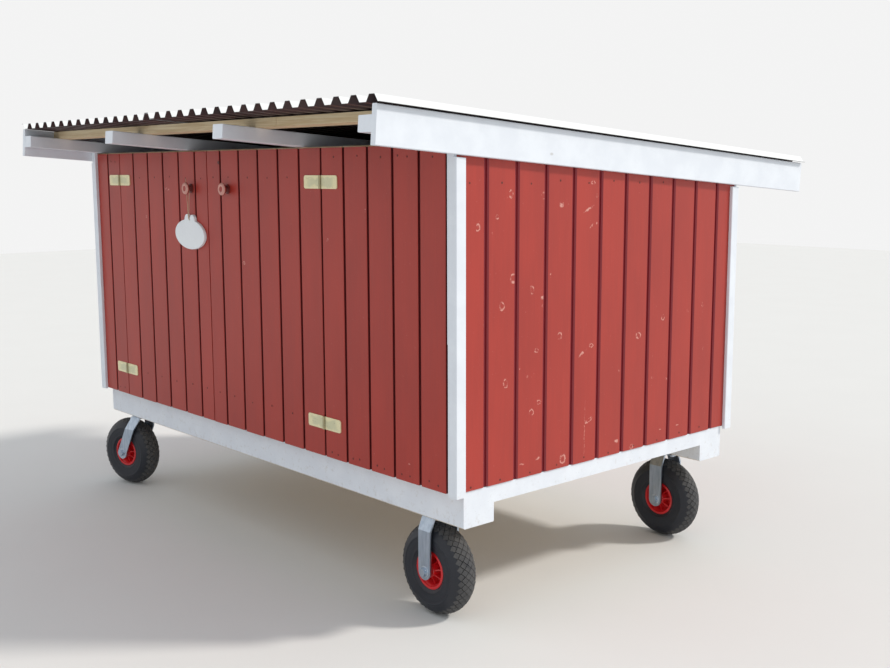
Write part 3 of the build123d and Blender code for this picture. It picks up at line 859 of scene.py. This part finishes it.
frontRuns = (  # first groove, cover and seed of each run, as measured
    ("boardsFrontLeft", "front_panel_left", -907.6, boards["cover"], 3),
    ("boardsDoorLeft", "door_left", -703.7, 109.9, 11),
    ("boardsDoorRight", "door_right", -101.1, boards["cover"], 23),
    ("boardsFrontRight", "front_panel_right", 557.5, 107.6, 31),
)
middleX, frontY = hutMiddle * 1000, frameFront * 1000
for name, node, edge, cover, seed in frontRuns:
    clad(name, node, "redBoards", middleX + edge - cover, cover, "front", seed)
clad("boardsBack", "wall_rear", "redBoards", middleX + boards["firstBackEdge"], boards["cover"], "back", 47)
edge, cover = frontY + boards["firstEndEdge"], boards["endCover"]
farEdge = edge + boards["endCount"] * cover
rightMarks, leftMarks = listMarks("rightRings", "rightBlots"), listMarks("leftRings", "leftBlots")
clad("boardsRight", "wall_right", "redEndBoards", edge - cover, cover, "right", 53, slopedTop, rightMarks)
clad("boardsLeft", "wall_left", "redEndBoards", farEdge, cover, "left", 61, slopedTop, leftMarks)
print("boards laid")


# Roof sheets: a flat sheet raised into ribs by a rule, the right one lapping over the left

roofing = {
    "pitch": 68.6, "shift": -6, "crest": 20, "foot": 44, "height": 18, "thick": 0.8, "base": 25.2, "lapRise": 2.6,
    "leftEdge": -1040, "rightEdge": 1052, "lapRib": -1, "lapMargin": 4, "mostRibs": 16,
    "run": 1836.65, "slices": 6, "frontY": -280, "frontZ": 1349,
}


def ribbedTree():
    graph, value = newTree(
        "ribbedSheet", Geometry="Geometry", Finish="Material", Pitch="Float", Shift="Float", Crest="Float",
        Foot="Float", Height="Float",
    )
    across = graph.part(graph.node("GeometryNodeInputPosition"), "X")
    fromRib = abs((across - value("Shift") + value("Pitch") / 2) % value("Pitch") - value("Pitch") / 2)
    share = (value("Foot") / 2 - fromRib) / ((value("Foot") - value("Crest")) / 2)
    rise = graph.vector(Z=graph.node("ShaderNodeClamp", None, {0: share}) * value("Height"))
    raised = graph.node("GeometryNodeSetPosition", None, {"Geometry": value("Geometry"), "Offset": rise})
    return closeTree(graph, raised, value("Finish"))


def flatSheet(start, end):
    crest, foot = roofing["crest"] / 2, roofing["foot"] / 2
    stops = {start, end}
    for rib in range(-roofing["mostRibs"], roofing["mostRibs"] + 1):
        middle = rib * roofing["pitch"] + roofing["shift"]
        stops |= {middle + reach for reach in (-foot, -crest, crest, foot) if start < middle + reach < end}
    stops = sorted(stops)
    rows = [roofing["run"] * step / roofing["slices"] for step in range(roofing["slices"] + 1)]
    points = [(x / 1000, y / 1000, z / 1000) for z in (0, roofing["thick"]) for y in rows for x in stops]
    wide, long = len(stops), len(rows)
    layer = wide * long
    faces = []
    for row in range(long - 1):
        for column in range(wide - 1):
            low = row * wide + column
            faces.append((low, low + wide, low + wide + 1, low + 1))
            faces.append(tuple(layer + corner for corner in (low, low + 1, low + wide + 1, low + wide)))
    border = list(range(wide)) + [row * wide + wide - 1 for row in range(1, long)]
    border += [(long - 1) * wide + column for column in range(wide - 2, -1, -1)]
    border += [row * wide for row in range(long - 2, 0, -1)]
    faces += [(a, b, b + layer, a + layer) for a, b in zip(border, border[1:] + border[:1])]
    return points, faces


lapX = roofing["lapRib"] * roofing["pitch"] + roofing["shift"]
lapReach = roofing["foot"] / 2 + roofing["lapMargin"]
lean = Matrix(((1, 0, 0, 0), (0, math.cos(slope), 0, 0), (0, -math.sin(slope), 1, 0), (0, 0, 0, 1)))
onRoof = Matrix.Translation(place(0, roofing["frontY"], roofing["frontZ"])) @ lean  # the ribs rise straight up
ribbed = ribbedTree()
for side, start, end, lift in (
    ("left", roofing["leftEdge"], lapX + lapReach, 0),
    ("right", lapX - lapReach, roofing["rightEdge"], roofing["lapRise"]),
):
    points, faces = flatSheet(start, end)
    values = {key.capitalize(): roofing[key] / 1000 for key in ("pitch", "shift", "crest", "foot", "height")}
    ribbedPiece = runTree(f"ribbedSheet_{side}", ribbed, {"Finish": finishes["roofSheet"], **values}, points, faces)
    ribbedPiece.data.transform(onRoof @ Matrix.Translation((0, 0, (roofing["base"] + lift) / 1000)))
    hand(ribbedPiece, "hut", "roof_sheet", f"roof_sheet_{side}")
print("roof sheets laid")


# Screw and bolt heads set on lists of points

heads = {  # radius, height, corners, and whether the middle is sunk
    "boardScrew": (3.1, 0.5, 10, True),
    "hingeScrew": (2.4, 0.7, 12, True),
    "roofScrew": (4.2, 5, 6, False),
    "roofWasher": (7.5, 1.2, 12, False),
    "plateBolt": (8, 5.5, 6, False),
    "axleWasher": (15.4, 1.1, 20, False),
    "axleBolt": (11.4, 7.6, 6, False),
}
headRings = ((0.38, 0.95), (0.8, 0.9), (1, 0))  # shares of the radius and of the height
headVaries = {"sunkTo": 0.35, "twist": 6.28, "smallest": 0.9, "largest": 1.08}


def headShape(name):
    radius, height, corners, sunk = heads[name]
    points, faces = [(0, 0, height * (headVaries["sunkTo"] if sunk else 1.0))], []
    for reach, rise in headRings:
        for corner in range(corners):
            angle = 2 * math.pi * corner / corners
            points.append((radius * reach * math.cos(angle), radius * reach * math.sin(angle), height * rise))
    for corner in range(corners):
        after = (corner + 1) % corners
        faces.append((0, 1 + corner, 1 + after))
        for ring in range(2):
            a, b = 1 + ring * corners, 1 + (ring + 1) * corners
            faces.append((a + corner, b + corner, b + after, a + after))
    faces.append(tuple(1 + 2 * corners + corner for corner in reversed(range(corners))))
    return meshPiece(name, [tuple(v / 1000 for v in point) for point in points], faces)


def headTree():
    graph, value = newTree(
        "headsOnPoints", Geometry="Geometry", Head="Object", Finish="Material", Facing="Vector", Seed="Int",
    )
    twist = graph.vector(Z=graph.chance(0.0, headVaries["twist"], value("Seed")))
    size = graph.chance(headVaries["smallest"], headVaries["largest"], value("Seed") + 2)
    run = graph.placed(value("Geometry"), value("Head"), Rotation=value("Facing"), Scale=size)
    run = graph.node("GeometryNodeRotateInstances", None, {"Instances": run, "Rotation": twist})
    return closeTree(graph, run, value("Finish"))


headsOnPoints = headTree()
headShapes = {name: headShape(name) for name in heads}
facings = {
    "front": (math.pi / 2, 0, 0), "back": (-math.pi / 2, 0, 0), "right": (0, math.pi / 2, 0),
    "left": (0, -math.pi / 2, 0), "up": (-slope, 0, 0), "down": (math.pi, 0, 0),
}


def setHeads(name, body, slot, head, finish, points, facing, seed):
    values = {"Head": headShapes[head], "Finish": finishes[finish], "Facing": facings[facing], "Seed": seed}
    return hand(runTree(name, headsOnPoints, values, points), body, slot)


random.seed(8)
jitter = lambda reach: random.uniform(-reach, reach)
frontFace = -14
boardScrews = {
    "doorHeights": (1200, 490), "lowest": 404, "highest": 1258, "endHeights": (404, 1190), "backHeights": (404, 1150),
    "left_door": (-767.5, -660.5, -550.5, -439.5, -328.5, -229.5),
    "right_door": (-147.5, -56.5, 54.5, 165.5, 275.5, 390.5),
    "lowPairs": (-867.5, 493.5, 596.5, 707.5, 817.5, 928.5), "pairSides": (-16, 17),
    "topSingles": (-884, -851, 509, 617, 719.5, 791, 830, 930),
    "endFace": 1020, "endInset": 61, "backFace": 1188, "backStart": -950, "backBoards": 18,
}


def setBoardScrews(name, body, points, facing, seed):
    setHeads(name, body, "zinc_steel", "boardScrew", "darkScrew", points, facing, seed)


for name, body in (("screwsDoorLeft", "left_door"), ("screwsDoorRight", "right_door")):
    spots = [
        place(x + jitter(3), frontFace, z + jitter(4)) for x in boardScrews[body] for z in boardScrews["doorHeights"]
    ]
    setBoardScrews(name, body, spots, "front", 5)
spots = [
    place(x + side + jitter(3), frontFace, boardScrews["lowest"] + jitter(4))
    for x in boardScrews["lowPairs"] for side in boardScrews["pairSides"]
]
spots += [place(x, frontFace, boardScrews["highest"] + jitter(3)) for x in boardScrews["topSingles"]]
setBoardScrews("screwsFront", "hut", spots, "front", 6)
for name, side, facing in (("screwsRight", 1, "right"), ("screwsLeft", -1, "left")):
    first = boards["firstEndEdge"] - boardScrews["endInset"]
    spots = [
        place(side * boardScrews["endFace"], first + boards["endCover"] * board + jitter(4), z + jitter(5))
        for board in range(boards["endCount"]) for z in boardScrews["endHeights"]
    ]
    setBoardScrews(name, "hut", spots, facing, 7)
spots = [
    place(boardScrews["backStart"] + boards["cover"] * board + jitter(4), boardScrews["backFace"], z + jitter(4))
    for board in range(boardScrews["backBoards"]) for z in boardScrews["backHeights"]
]
setBoardScrews("screwsBack", "hut", spots, "back", 9)

leafScrews = {"reaches": (14, 66), "rises": (-10, 10), "leafThick": 2.5}
for side, doorWay in (("left", 1), ("right", -1)):
    for holder, way in (("hut", -doorWay), (side + "_door", doorWay)):
        spots = [
            place(hinges[side] + way * reach, frontFace - leafScrews["leafThick"], middle + rise)
            for middle in hinges["heights"] for reach in leafScrews["reaches"] for rise in leafScrews["rises"]
        ]
        setHeads(f"hingeScrews_{side}_{holder}", holder, "brass", "hingeScrew", "brass", spots, "front", 12)

roofScrews = {"ribs": range(-14, 14, 3), "runs": (134, 918, 1777), "sunk": 0.1, "washerThick": 1.1}
washerSpots, screwSpots = [], []
for rib in roofScrews["ribs"]:
    for run in roofScrews["runs"]:
        x = (rib + 0.5) * roofing["pitch"] + roofing["shift"]
        rise = roofing["base"] + roofing["thick"] + (roofing["lapRise"] if x > lapX else 0) - roofScrews["sunk"]
        washerSpots.append(onRoof @ Vector((x / 1000, run / 1000, rise / 1000)))
        screwSpots.append(onRoof @ Vector((x / 1000, run / 1000, (rise + roofScrews["washerThick"]) / 1000)))
setHeads("roofWashers", "hut", "zinc_steel", "roofWasher", "rubber", washerSpots, "up", 14)
setHeads("roofScrews", "hut", "zinc_steel", "roofScrew", "roofSheet", screwSpots, "up", 15)

plateBolts = {"left": -900.5, "right": 846.5, "front": 76.5, "rear": 1097.5, "under": 288.1, "spread": (52.5, 35)}
wide, long = plateBolts["spread"]
spots = [
    place(plateBolts[side] + across * wide, plateBolts[end] + along * long, plateBolts["under"])
    for side in ("left", "right") for end in ("front", "rear") for across in (-1, 1) for along in (-1, 1)
]
setHeads("plateBolts", "hut", "zinc_steel", "plateBolt", "zincPlate", spots, "down", 18)

axle = {"reach": 53.5, "washerThick": 1}
corners = {"left_front": 10, "left_rear": 9, "right_front": 11, "right_rear": 10}  # steps each wheel has rolled
for corner in corners:
    joint = joints[f"wheel_{corner}_spin"]
    for side, way in (("out", 1), ("in", -1)):
        out = Vector(joint["axis"]).normalized() * way
        facings["axle"] = tuple(out.to_track_quat("Z", "Y").to_euler())
        for head, reach in (("axleWasher", axle["reach"]), ("axleBolt", axle["reach"] + axle["washerThick"])):
            spot = Vector(joint["pos_m"]) + out * reach / 1000
            setHeads(f"{head}_{corner}_{side}", joint["parent"], "zinc_steel", head, "boltZinc", [spot], "axle", 19)
for shape in headShapes.values():
    bpy.data.objects.remove(shape)
print("screws and bolts set")


# Wheels: tyre with diamond tread blocks on a carcass, and a ribbed rim

tyre = {
    "crown": 129.2, "fall": 0.0123, "rowGap": 10.4, "rows": 6, "around": 38, "blockDepth": 3.2, "blockLong": 9.7,
    "blockWide": 9.3, "blockFlare": 1.1, "blockSunk": 0.6, "rollStep": 0.7,
    "valveTurn": 22.5, "valveSpot": (0, 0.006, 0.034),
    "valve": [(0.5, 0), (4.6, 0), (4.6, 12), (3.9, 13.4), (3.9, 22), (3.2, 23), (0.5, 23)],
    "wall": [  # reach and half width of the sidewall, from bead to shoulder
        (49.9, 30), (52, 31.4), (56.5, 33), (60, 36.5), (64, 38.6), (64.6, 39.9), (67, 40.6), (68, 40.2), (76, 41.8),
        (88, 42.4), (94, 41.7), (94.8, 42.2), (98, 41.6), (99, 40.8), (106, 38.2), (112, 34.9),
    ],
    "bed": ((0.3, 31), (0.4, 28), (3, 26), (3.2, 20), (3.2, 14), (3.2, 6)),  # depth under the tread, half width
}
rim = {
    "ribs": 8, "ribThick": 3.4, "ribOutline": ((19.5, 5), (44, 6), (43, 19), (30, 24), (19.5, 31)),
    "half": [
        (6.4, 36), (18, 36), (20, 34.5), (20.6, 8), (36, 6), (40, 8), (43.5, 26), (46.5, 29.5), (46.8, 33),
        (48, 34.5), (53, 34.6), (55, 33.4), (55, 31.4), (50.1, 31),
    ],
}


def spin(name, profile, steps, finish, degrees):
    points, faces = [], []
    size = len(profile)
    for step in range(steps):
        angle = 2 * math.pi * step / steps
        for reach, y in profile:
            points.append((reach * math.sin(angle) / 1000, y / 1000, reach * math.cos(angle) / 1000))
    for step in range(steps):
        here, there = step * size, (step + 1) % steps * size
        for index in range(size):
            after = (index + 1) % size
            faces.append((here + index, here + after, there + after, there + index))
    piece = meshPiece(name, points, faces, finish)
    smoothTo(piece, degrees)
    return piece


def bothSides(half):
    return half + [(reach, -y) for reach, y in reversed(half)]


def treadRadius(across):
    return tyre["crown"] - tyre["fall"] * across ** 2


def blockMesh():
    deep, long, wide = tyre["blockDepth"] + tyre["blockSunk"], tyre["blockLong"], tyre["blockWide"]
    top = [(long, 0, 0), (0, wide, 0), (-long, 0, 0), (0, -wide, 0)]
    low = [(x * tyre["blockFlare"], y * tyre["blockFlare"], -deep) for x, y, z in top]
    points = [tuple(v / 1000 for v in point) for point in top + low]
    faces = [(0, 1, 2, 3)] + [(i, i + 4, (i + 1) % 4 + 4, (i + 1) % 4) for i in range(4)]
    return meshPiece("treadBlock", points, faces)


def treadTree():
    graph, value = newTree(
        "treadBlocks", Block="Object", Finish="Material", Around="Int", Rows="Int", Gap="Float", Crown="Float",
        Fall="Float",
    )
    around, rows = value("Around"), value("Rows")
    grid = graph.node(
        "GeometryNodeMeshGrid", None,
        {"Size X": (around - 1) / around, "Size Y": rows - 1, "Vertices X": around, "Vertices Y": rows},
    )
    spot = graph.node("GeometryNodeInputPosition")
    row = graph.part(spot, "Y")
    odd = (row + (rows - 1) / 2 + 0.1) % 2.0 > 1.0
    angle = (graph.part(spot, "X") + odd * 0.5 / around) * (2 * math.pi)
    across = row * value("Gap")
    reach = value("Crown") - value("Fall") * across * across
    tilt = graph.maths("ARCTANGENT", across * value("Fall") * 2.0)
    target = graph.vector(X=reach * graph.maths("SINE", angle), Y=across, Z=reach * graph.maths("COSINE", angle))
    turnKept = graph.node(
        "GeometryNodeStoreNamedAttribute", {"data_type": "FLOAT_VECTOR", "domain": "POINT"},
        {"Geometry": grid, "Name": "turn", "Value": graph.vector(X=tilt * -1.0, Y=angle)},
    )
    moved = graph.node("GeometryNodeSetPosition", None, {"Geometry": turnKept, "Position": target})
    turn = graph.node("GeometryNodeInputNamedAttribute", {"data_type": "FLOAT_VECTOR"}, {"Name": "turn"})
    whole = graph.node("GeometryNodeRealizeInstances", None, {0: graph.placed(moved, value("Block"), Rotation=turn)})
    marked = graph.node(
        "GeometryNodeStoreNamedAttribute", {"data_type": "FLOAT", "domain": "FACE"},
        {"Geometry": whole, "Name": "tread", "Value": 1.0},
    )
    return closeTree(graph, marked, value("Finish"))


def ribTree():
    graph, value = newTree("rimRibs", Rib="Object", Finish="Material", Ribs="Int")
    line = graph.node("GeometryNodeMeshLine", {"mode": "OFFSET"}, {"Count": value("Ribs"), "Offset": (0, 0, 0)})
    turn = graph.vector(Y=graph.node("GeometryNodeInputIndex") * (2 * math.pi) / value("Ribs"))
    return closeTree(graph, graph.placed(line, value("Rib"), Rotation=turn), value("Finish"))


def ribMesh():
    half = rim["ribThick"] / 2
    points, faces = [], []
    for side in (1, -1):
        outline = [(reach, y * side) for reach, y in rim["ribOutline"]]
        base, size = len(points), len(outline)
        for x in (-half, half):
            points += [(x / 1000, y / 1000, reach / 1000) for reach, y in outline]
        far = base + size
        faces += [tuple(range(base, far)), tuple(reversed(range(far, far + size)))]
        faces += [(base + i, far + i, far + (i + 1) % size, base + (i + 1) % size) for i in range(size)]
    return meshPiece("rib", points, faces)


def joinPieces(name, parts):
    merged = bmesh.new()
    for part in parts:
        merged.from_mesh(part.data)
    mesh = bpy.data.meshes.new(name)
    merged.to_mesh(mesh)
    merged.free()
    mesh.materials.append(parts[0].data.materials[0])
    for part in parts:
        bpy.data.objects.remove(part)
    return mesh


bed = [(treadRadius(across) - under, across) for under, across in tyre["bed"]]
carcass = spin("carcass", bothSides(tyre["wall"] + bed), steps=72, finish="rubber", degrees=40)
carcass.data.attributes.new("tread", "FLOAT", "FACE")
valve = spin("valve", tyre["valve"], steps=16, finish="rubber", degrees=35)
valve.data.transform(Matrix.Rotation(math.radians(tyre["valveTurn"]), 4, "Y") @ Matrix.Translation(tyre["valveSpot"]))
block = blockMesh()
tread = runTree("tread", treadTree(), {
    "Block": block, "Finish": finishes["rubber"], "Around": tyre["around"], "Rows": tyre["rows"],
    "Gap": tyre["rowGap"] / 1000, "Crown": tyre["crown"] / 1000, "Fall": tyre["fall"] * 1000,
})
tyreShape = joinPieces("tyreShape", [carcass, tread, valve])

rimShell = spin("rimShell", bothSides(rim["half"]), steps=64, finish="rimPlastic", degrees=35)
rib = ribMesh()
ribs = runTree("ribs", ribTree(), {"Rib": rib, "Finish": finishes["rimPlastic"], "Ribs": rim["ribs"]})
rimShape = joinPieces("rimShape", [rimShell, ribs])
for piece in (block, rib):
    bpy.data.objects.remove(piece)

for corner in corners:
    joint = joints[f"wheel_{corner}_spin"]
    axis = Vector(joint["axis"])
    rolled = Matrix.Rotation(tyre["rollStep"] * corners[corner], 4, "Y")
    turn = Matrix.Rotation(math.atan2(axis.x, -axis.y), 4, "Z") @ rolled
    for shape, kind, slot in ((tyreShape, "tyre", "tyre"), (rimShape, "rim", "rim_red")):
        mesh = shape.copy()
        mesh.transform(Matrix.Translation(joint["pos_m"]) @ turn)
        hand(show(f"{kind}Dressed_{corner}", mesh), f"wheel_{corner}", slot, f"{kind}_{corner}")
print("wheels built")


# Knobs: the CAD outline spun smooth, with a dished and worn face

knob = {
    "z": 1164, "left": -294.5, "right": -61.5,
    "neckTo": 15, "softRubFrom": 18, "rubFrom": 22, "rubRing": (9.2, 20),  # depths, and the reach of the worn ring
    "outline": [
        (0.4, 0), (15, 0), (15.3, 1.3), (15, 2.5), (10.5, 3.9), (8.2, 6), (7.5, 8.5), (7.5, 11.9), (8.6, 13.8),
        (13, 14.8), (17.5, 16.1), (20, 18.3), (20.5, 20.8), (19.5, 23.5), (17, 25.7), (13.5, 26.9), (11, 26.6),
        (9.4, 25.7), (8.6, 24.9), (5, 25.2), (0.4, 25.7),
    ],
}


def turnKnob(side):
    outline = [(reach, -depth) for reach, depth in knob["outline"]]
    shape = spin(f"knobDressed_{side}", outline, steps=40, finish="knobPaint", degrees=50)
    worn = shape.data.attributes.new("worn", "FLOAT", "POINT")
    neck = shape.data.attributes.new("neck", "FLOAT", "POINT")
    near, far = knob["rubRing"]
    for vertex in shape.data.vertices:
        reach = math.hypot(vertex.co.x, vertex.co.z) * 1000
        depth = -vertex.co.y * 1000
        rubbed = 1.0 if depth > knob["rubFrom"] and near < reach < far else 0.35 * (depth > knob["softRubFrom"])
        worn.data[vertex.index].value = rubbed
        # the neck attribute marks where the painted shade under the head goes
        neck.data[vertex.index].value = float(depth < knob["neckTo"])
    shape.data.transform(Matrix.Translation(place(knob[side], frontFace, knob["z"])))
    return hand(shape, side + "_door", "red_board", f"knob_{side}")


turnKnob("left")
turnKnob("right")


# Sign: a plain oval with two rounded ears, its edge rounded over

sign = {
    "x": -299.5, "z": 1011, "wide": 97, "tall": 50, "earX": 16.5, "earWide": 17.5, "earTall": 21, "earZ": 46,
    "thick": 9, "sunk": 0.6, "tilt": -3, "holeZ": 48, "holeRadius": 2.4,
    "edge": ((0, 1.6), (0.5, 0.4), (1.5, 0)),  # how far in, and how far below the face
    "earStep": 6, "ovalGap": 0.03, "ovalSteps": 45, "holeSteps": 24,
}


def signOutline():
    wide, tall, earZ = sign["wide"], sign["tall"], sign["earZ"]
    half, turn = [], math.acos(-sign["earX"] / sign["earWide"])
    while True:
        x = sign["earX"] + sign["earWide"] * math.cos(turn)
        z = earZ + sign["earTall"] * math.sin(turn)
        if (x / wide) ** 2 + (z / tall) ** 2 < 1:
            break
        half.append((x, z))
        turn -= math.radians(sign["earStep"])
    first = math.atan2(half[-1][1] / tall, half[-1][0] / wide) - sign["ovalGap"]
    for step in range(sign["ovalSteps"]):
        angle = first + (-math.pi / 2 - first) * step / (sign["ovalSteps"] - 1)
        half.append((wide * math.cos(angle), tall * math.sin(angle)))
    return half + [(-x, z) for x, z in reversed(half[1:-1])]


def buildSign():
    outline = [Vector(point) for point in signOutline()]
    thick, radius = sign["thick"], sign["holeRadius"]
    inward = []
    for before, here, after in zip(outline[-1:] + outline[:-1], outline, outline[1:] + outline[:1]):
        along = (here - before).normalized() + (after - here).normalized()
        inward.append(Vector((along.y, -along.x)).normalized())
    mesh = bmesh.new()
    corner = lambda x, depth, z: mesh.verts.new((x / 1000, -depth / 1000, z / 1000))
    loops = []
    for inset, depth in [(0, 0)] + [(inset, thick - below) for inset, below in sign["edge"]]:
        spots = [point + way * inset for point, way in zip(outline, inward)]
        loops.append([corner(spot.x, depth, spot.y) for spot in spots])
    turns = [2 * math.pi * step / sign["holeSteps"] for step in range(sign["holeSteps"])]
    circle = [(math.cos(turn), math.sin(turn)) for turn in turns]
    holes = [[corner(x * radius, depth, sign["holeZ"] + z * radius) for x, z in circle] for depth in (0, thick)]
    for first, second in [*zip(loops, loops[1:]), holes]:
        for step in range(len(first)):
            mesh.faces.new((first[step], first[step - 1], second[step - 1], second[step]))
    for outer, inner in ((loops[0], holes[0]), (loops[-1], holes[1])):
        around = [mesh.edges.get((loop[step], loop[step - 1])) for loop in (outer, inner) for step in range(len(loop))]
        bmesh.ops.triangle_fill(mesh, use_beauty=True, edges=around)
    bmesh.ops.recalc_face_normals(mesh, faces=mesh.faces)
    piece = meshPiece("signDressed", [], [], "signPaint")
    mesh.to_mesh(piece.data)
    mesh.free()
    smoothTo(piece, 30)
    tilt = Matrix.Rotation(-math.radians(sign["tilt"]), 4, "Y")
    piece.data.transform(Matrix.Translation(place(sign["x"], frontFace - sign["sunk"], sign["z"])) @ tilt)
    return hand(piece, "left_door", "sign_white", "sign_plaque")


buildSign()
for piece in (signTwine, twineTail):
    piece.data.materials.append(finishes["fibre"])
hand(signTwine, "left_door", "twine", "sign_twine")
hand(twineTail, "left_door", "twine")
tuple(twineRoute()[0])
print("knobs, sign and twine done")


# Floor, light and background

floorReach = 14
floorCorners = [(x * floorReach, y * floorReach, 0) for x, y in ((-1, -1), (1, -1), (1, 1), (-1, 1))]
ground = meshPiece("ground", floorCorners, [(0, 1, 2, 3)])
ground.data.materials.append(newFinish("paleFloor", paleFloor, {"Roughness": 0.9}))
ground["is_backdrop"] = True

light = {
    "sky": 0.78, "skyColour": (0.9, 0.95, 1), "backdrop": (0.9, 0.9, 0.9),
    "sun": 2.3, "sunSpread": 7, "sunHeight": 37.6, "sunTurn": 50, "sunColour": (1, 0.96, 0.9),
}
world = bpy.data.worlds.new("studio")
bpy.context.scene.world = world
world.use_nodes = True
graph = Graph(world.node_tree)
rays = [
    graph.node("ShaderNodeLightPath", output=name) for name in ("Is Camera Ray", "Is Glossy Ray", "Is Transmission Ray")
]
seen = graph.maths("MINIMUM", rays[0] + rays[1] + rays[2], 1.0)
soft = graph.node("ShaderNodeBackground", None, {"Color": tone(light["skyColour"]), "Strength": light["sky"]})
pale = graph.node("ShaderNodeBackground", None, {"Color": tone(light["backdrop"]), "Strength": 1.0})
mixed = graph.node("ShaderNodeMixShader", None, {0: seen, 1: soft, 2: pale})
worldOut = graph.tree.nodes.new("ShaderNodeOutputWorld")
graph.tree.links.new(mixed.socket, worldOut.inputs["Surface"])

sun = show("sun", bpy.data.lights.new("sun", "SUN"))
sun.data.energy = light["sun"]
sun.data.angle = math.radians(light["sunSpread"])
sun.data.color = light["sunColour"]
sun.rotation_euler = Euler((0, math.radians(90 - light["sunHeight"]), math.radians(light["sunTurn"])))

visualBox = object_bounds()
{"cad": [list(corner) for corner in cadBox], "visual": [list(corner) for corner in visualBox]}
print("cad box", cadBox, "visual box", visualBox)
